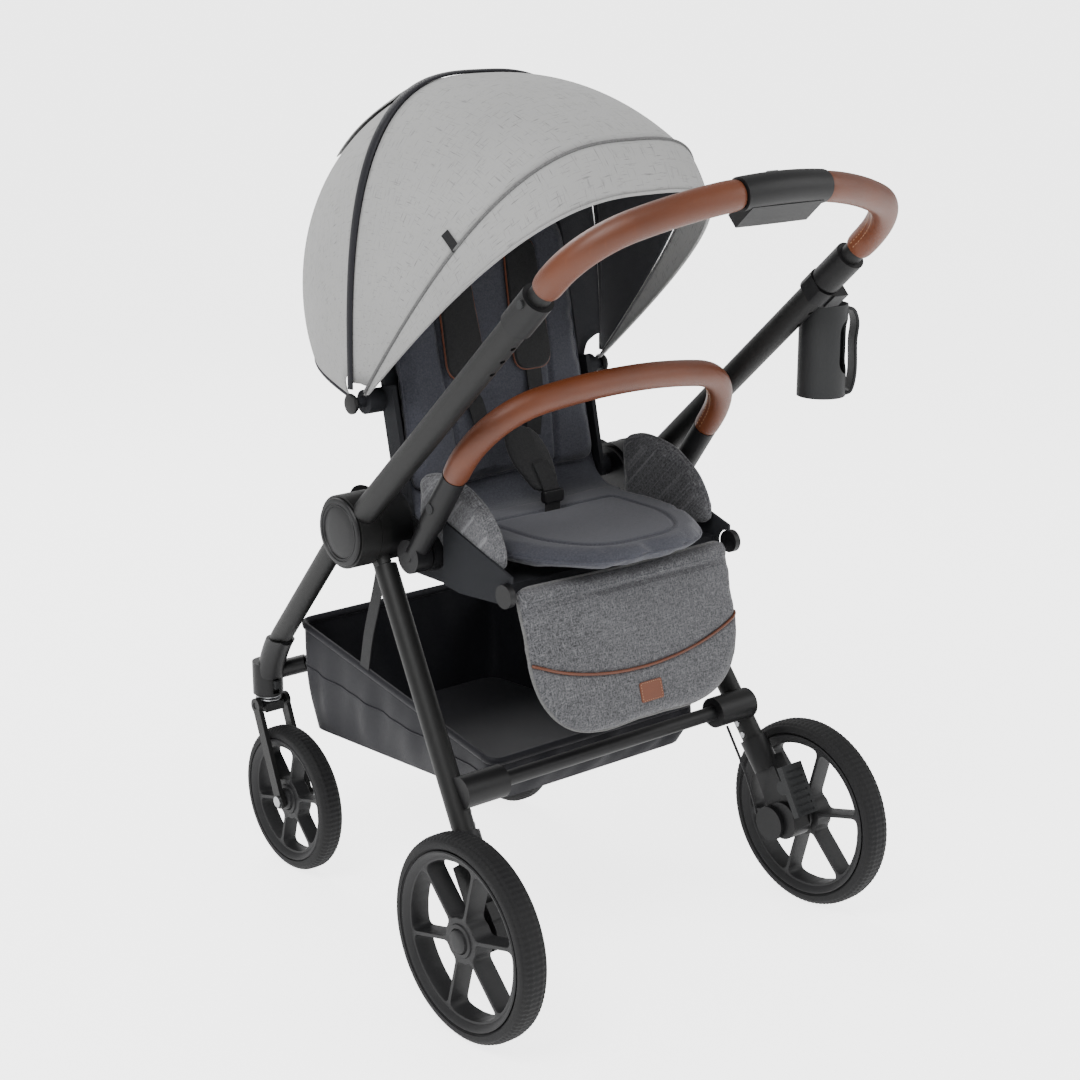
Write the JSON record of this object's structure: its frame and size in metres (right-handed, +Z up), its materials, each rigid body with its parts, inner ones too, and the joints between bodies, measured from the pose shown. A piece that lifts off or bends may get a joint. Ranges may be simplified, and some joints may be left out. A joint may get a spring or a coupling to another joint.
{
  "type": "baby stroller",
  "caption": "Folding baby stroller: U handle, round fold hubs, swivel casters, large rear wheels, padded reclining seat with canopy, bumper bar, leg rest, cup holder and basket.",
  "frame": {"origin": "floor level, at the middle of the stroller's length and width (bounding box bottom centre)", "axes": "+X to the right of the person pushing, +Y the direction of travel, +Z up from the floor"},
  "size_m": [0.6545, 0.8744, 1.1379],
  "materials": {
    "black_frame": "matte powder coat",
    "black_plastic": "fine satin grain",
    "charcoal_plastic": "fine satin grain",
    "steel": "brushed",
    "tyre_black": "matte foam rubber",
    "rim_charcoal": "satin",
    "tan_leather": "semi-gloss, stitched",
    "canopy_linen": "light grey melange linen",
    "seat_cloth": "plain dark grey",
    "melange_cloth": "charcoal melange",
    "black_cloth": "satin nylon",
    "shell_black": "coated cloth",
    "webbing": "woven webbing"
  },
  "bodies": {
    "chassis": {"hub_housings": "black_plastic", "front_legs": "black_frame", "front_beam": "black_plastic", "basket": "black_cloth"},
    "swivel_lock_left": {"swivel_lock_left": "charcoal_plastic"},
    "swivel_lock_right": {"swivel_lock_right": "charcoal_plastic"},
    "handle_lower": {"handle_tubes": "black_frame", "hub_caps": "black_plastic", "tube_collars": "black_plastic", "cup_clamp": "black_plastic", "cup_holder": "charcoal_plastic"},
    "handle_button_left": {"handle_button_left": "charcoal_plastic"},
    "handle_button_right": {"handle_button_right": "charcoal_plastic"},
    "handle_upper": {"handle_bar": "black_frame", "handle_leather": "tan_leather", "fold_console": "black_plastic"},
    "fold_trigger": {"fold_trigger": "charcoal_plastic"},
    "safety_slider": {"safety_slider": "steel"},
    "rear_frame": {"rear_legs": "black_frame", "rear_crossbar": "black_plastic", "wheel_housings": "black_plastic", "rear_axles": "steel", "brake_cable": "webbing", "leg_screws": "steel"},
    "brake_pedal": {"brake_pedal": "charcoal_plastic"},
    "rear_wheel_left": {"rear_tyre_left": "tyre_black", "rear_rim_left": "rim_charcoal"},
    "rear_wheel_right": {"rear_tyre_right": "tyre_black", "rear_rim_right": "rim_charcoal"},
    "caster_left": {"caster_yoke_left": "black_plastic", "caster_spring_left": "steel"},
    "caster_right": {"caster_yoke_right": "black_plastic", "caster_spring_right": "steel"},
    "fork_left": {"caster_fork_left": "black_frame", "front_axle_left": "steel"},
    "fork_right": {"caster_fork_right": "black_frame", "front_axle_right": "steel"},
    "front_wheel_left": {"front_tyre_left": "tyre_black", "front_rim_left": "rim_charcoal"},
    "front_wheel_right": {"front_tyre_right": "tyre_black", "front_rim_right": "rim_charcoal"},
    "seat": {"seat_adapters": "black_plastic", "seat_shell": "shell_black", "seat_cushion": "seat_cloth", "seat_wings": "melange_cloth", "crotch_harness": "webbing", "legrest_knobs": "black_plastic"},
    "legrest": {"legrest_pad": "melange_cloth"},
    "bumper": {"bumper_bar": "black_plastic", "bumper_leather": "tan_leather"},
    "bumper_button_left": {"bumper_button_left": "charcoal_plastic"},
    "bumper_button_right": {"bumper_button_right": "charcoal_plastic"},
    "backrest": {"backrest_shell": "shell_black", "backrest_pad": "seat_cloth", "shoulder_harness": "webbing"},
    "recline_lever": {"recline_lever": "charcoal_plastic"},
    "canopy_middle": {"canopy_rib": "black_cloth", "canopy_rear": "canopy_linen"},
    "canopy_forward": {"canopy_bow": "canopy_linen", "canopy_front": "canopy_linen"}
  },
  "joints": [
    {"name": "handle_fold", "type": "hinge", "parent": "chassis", "child": "handle_lower", "pos_m": [0, 0.08, 0.574], "axis": [-1, 0, 0], "range_deg": [0, 150]},
    {"name": "rear_leg_fold", "type": "hinge", "parent": "chassis", "child": "rear_frame", "pos_m": [0, 0.08, 0.574], "axis": [1, 0, 0], "range_deg": [0, 40], "deforming": ["basket"]},
    {"name": "handle_extend", "type": "slide", "parent": "handle_lower", "child": "handle_upper", "axis": [0, -0.7349, 0.6782], "range_m": [0, 0.09]},
    {"name": "fold_trigger_squeeze", "type": "slide", "parent": "handle_upper", "child": "fold_trigger", "axis": [0, -0.7349, 0.6782], "range_m": [0, 0.005], "stiffness_N_per_m": 800, "springref_m": -0.002},
    {"name": "safety_slide", "type": "slide", "parent": "handle_upper", "child": "safety_slider", "axis": [1, 0, 0], "range_m": [0, 0.012], "stiffness_N_per_m": 100, "springref_m": -0.003},
    {"name": "handle_button_left_press", "type": "slide", "parent": "handle_lower", "child": "handle_button_left", "axis": [1, 0, 0], "range_m": [0, 0.002], "stiffness_N_per_m": 800, "springref_m": -0.002},
    {"name": "handle_button_right_press", "type": "slide", "parent": "handle_lower", "child": "handle_button_right", "axis": [-1, 0, 0], "range_m": [0, 0.002], "stiffness_N_per_m": 800, "springref_m": -0.002},
    {"name": "brake_press", "type": "hinge", "parent": "rear_frame", "child": "brake_pedal", "pos_m": [0.25, -0.223, 0.182], "axis": [1, 0, 0], "range_deg": [0, 14], "stiffness_Nm_per_rad": 1.5, "springref_deg": -5.73},
    {"name": "rear_wheel_left_spin", "type": "hinge", "parent": "rear_frame", "child": "rear_wheel_left", "pos_m": [-0.3, -0.221, 0.132], "axis": [1, 0, 0], "continuous": true},
    {"name": "rear_wheel_right_spin", "type": "hinge", "parent": "rear_frame", "child": "rear_wheel_right", "pos_m": [0.3, -0.221, 0.132], "axis": [1, 0, 0], "continuous": true},
    {"name": "caster_left_swivel", "type": "hinge", "parent": "chassis", "child": "caster_left", "pos_m": [-0.195, 0.389, 0.25], "axis": [0, 0, 1], "continuous": true},
    {"name": "suspension_left", "type": "hinge", "parent": "caster_left", "child": "fork_left", "pos_m": [-0.195, 0.383, 0.238], "axis": [-1, 0, 0], "range_deg": [0, 7], "stiffness_Nm_per_rad": 40, "springref_deg": -11.46},
    {"name": "front_wheel_left_spin", "type": "hinge", "parent": "fork_left", "child": "front_wheel_left", "pos_m": [-0.195, 0.33, 0.1066], "axis": [1, 0, 0], "continuous": true},
    {"name": "swivel_lock_left_slide", "type": "slide", "parent": "chassis", "child": "swivel_lock_left", "axis": [0, 0, -1], "range_m": [0, 0.007]},
    {"name": "caster_right_swivel", "type": "hinge", "parent": "chassis", "child": "caster_right", "pos_m": [0.195, 0.389, 0.25], "axis": [0, 0, 1], "continuous": true},
    {"name": "suspension_right", "type": "hinge", "parent": "caster_right", "child": "fork_right", "pos_m": [0.195, 0.383, 0.238], "axis": [-1, 0, 0], "range_deg": [0, 7], "stiffness_Nm_per_rad": 40, "springref_deg": -11.46},
    {"name": "front_wheel_right_spin", "type": "hinge", "parent": "fork_right", "child": "front_wheel_right", "pos_m": [0.195, 0.33, 0.1066], "axis": [1, 0, 0], "continuous": true},
    {"name": "swivel_lock_right_slide", "type": "slide", "parent": "chassis", "child": "swivel_lock_right", "axis": [0, 0, -1], "range_m": [0, 0.007]},
    {"name": "seat_lift", "type": "slide", "parent": "chassis", "child": "seat", "axis": [0, 0, 1], "range_m": [0, 0.08]},
    {"name": "seat_recline", "type": "hinge", "parent": "seat", "child": "backrest", "pos_m": [0, 0.082, 0.592], "axis": [-1, 0, 0], "range_deg": [0, 40]},
    {"name": "recline_lever_squeeze", "type": "slide", "parent": "backrest", "child": "recline_lever", "axis": [0, 0.2181, 0.9759], "range_m": [0, 0.01], "stiffness_N_per_m": 300, "springref_m": -0.003},
    {"name": "canopy_middle_fold", "type": "hinge", "parent": "backrest", "child": "canopy_middle", "pos_m": [0, 0.129, 0.725], "axis": [-1, 0, 0], "range_deg": [0, 33], "deforming": ["canopy_rear"]},
    {"name": "canopy_front_fold", "type": "hinge", "parent": "canopy_middle", "child": "canopy_forward", "pos_m": [0, 0.129, 0.725], "axis": [-1, 0, 0], "range_deg": [0, 27], "deforming": ["canopy_front"]},
    {"name": "bumper_swing", "type": "hinge", "parent": "seat", "child": "bumper", "pos_m": [0, -0.002, 0.551], "axis": [-1, 0, 0], "range_deg": [0, 25]},
    {"name": "bumper_button_left_press", "type": "slide", "parent": "bumper", "child": "bumper_button_left", "axis": [1, 0, 0], "range_m": [0, 0.0025], "stiffness_N_per_m": 800, "springref_m": -0.002},
    {"name": "bumper_button_right_press", "type": "slide", "parent": "bumper", "child": "bumper_button_right", "axis": [-1, 0, 0], "range_m": [0, 0.0025], "stiffness_N_per_m": 800, "springref_m": -0.002},
    {"name": "legrest_tilt", "type": "hinge", "parent": "seat", "child": "legrest", "pos_m": [0, -0.16, 0.531], "axis": [-1, 0, 0], "range_deg": [0, 65]}
  ],
  "couplings": [
    {"joint": "rear_leg_fold", "follows": "handle_fold", "ratio": 0.26667},
    {"joint": "canopy_front_fold", "follows": "canopy_middle_fold", "ratio": 0.81818}
  ]
}
